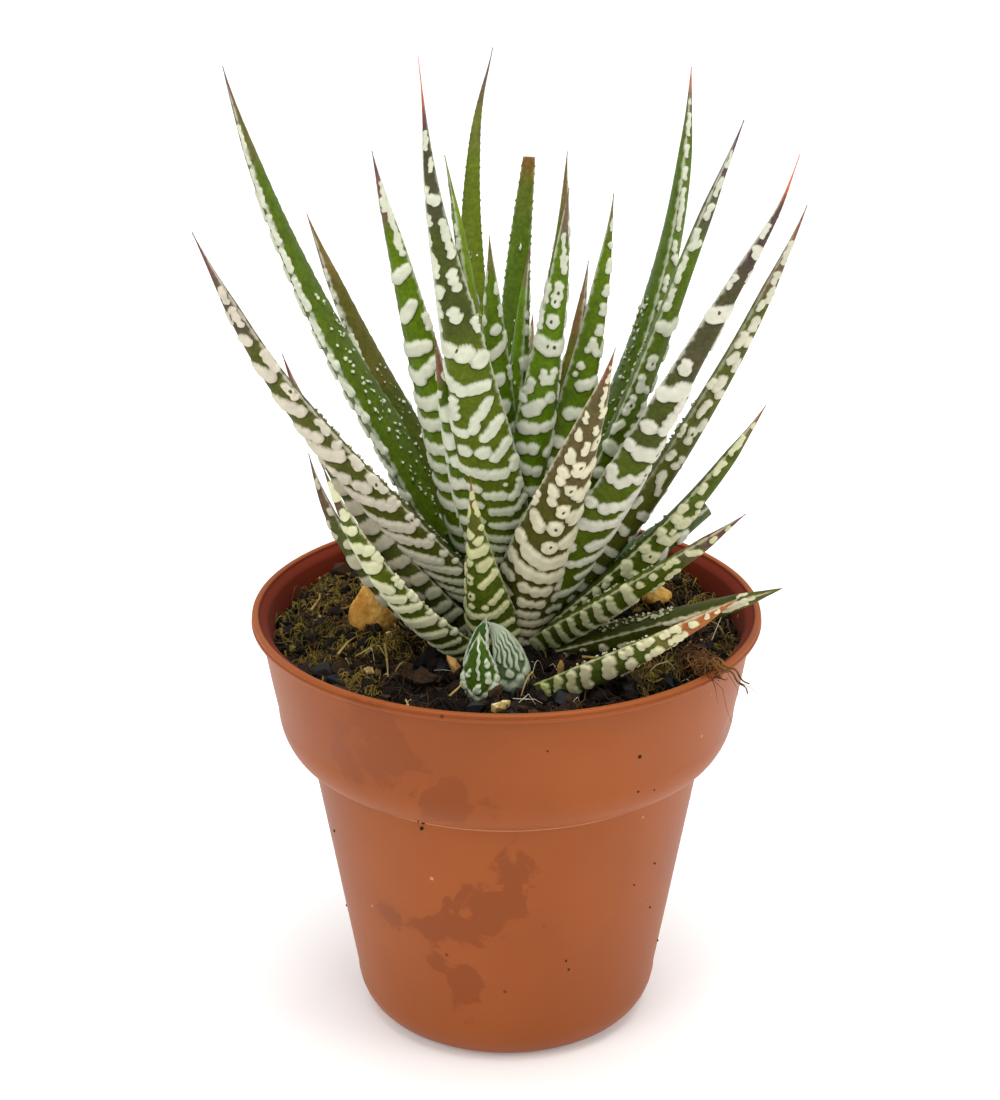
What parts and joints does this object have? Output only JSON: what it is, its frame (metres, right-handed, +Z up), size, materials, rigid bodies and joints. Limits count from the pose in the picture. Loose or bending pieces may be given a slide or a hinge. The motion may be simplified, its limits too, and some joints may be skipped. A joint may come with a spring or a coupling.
{
  "type": "potted succulent",
  "caption": "Haworthia (zebra plant): a rosette of stiff, pointed, white-banded green leaves with a small shoot, in a round stepped terracotta-coloured plastic nursery pot filled with soil",
  "frame": {"origin": "centre of the flat underside of the pot, on the surface that it stands on", "axes": "+Z up along the pot's axis; -Y towards the viewer of the picture, the side on which the young shoot grows; +X to the viewer's right"},
  "size_m": [0.06, 0.0625, 0.1117],
  "materials": {
    "pot_plastic": "satin injection-moulded polypropylene, terracotta brown, slightly soiled",
    "peat": null,
    "stem_skin": null,
    "leaf_skin": null,
    "fired_clay": "rough unglazed ochre clay grain"
  },
  "bodies": {
    "root": {"pot": "pot_plastic", "potting_soil": "peat", "stem": "stem_skin", "clay_grain_1": "fired_clay", "clay_grain_2": "fired_clay", "shoot_leaf_1": "leaf_skin", "shoot_leaf_2": "leaf_skin", "shoot_leaf_3": "leaf_skin", "shoot_leaf_4": "leaf_skin", "leaf_01": "leaf_skin", "leaf_02": "leaf_skin", "leaf_03": "leaf_skin", "leaf_04": "leaf_skin", "leaf_05": "leaf_skin", "leaf_06": "leaf_skin", "leaf_07": "leaf_skin", "leaf_08": "leaf_skin", "leaf_09": "leaf_skin", "leaf_10": "leaf_skin", "leaf_11": "leaf_skin", "leaf_12": "leaf_skin", "leaf_13": "leaf_skin", "leaf_14": "leaf_skin", "leaf_15": "leaf_skin", "leaf_16": "leaf_skin", "leaf_17": "leaf_skin", "leaf_18": "leaf_skin", "leaf_19": "leaf_skin", "leaf_20": "leaf_skin", "leaf_21": "leaf_skin", "leaf_22": "leaf_skin", "leaf_23": "leaf_skin", "leaf_24": "leaf_skin", "leaf_25": "leaf_skin", "leaf_26": "leaf_skin", "leaf_27": "leaf_skin", "leaf_28": "leaf_skin", "leaf_29": "leaf_skin", "leaf_30": "leaf_skin", "leaf_31": "leaf_skin", "leaf_32": "leaf_skin", "leaf_33": "leaf_skin", "leaf_34": "leaf_skin", "leaf_35": "leaf_skin"}
  },
  "joints": []
}
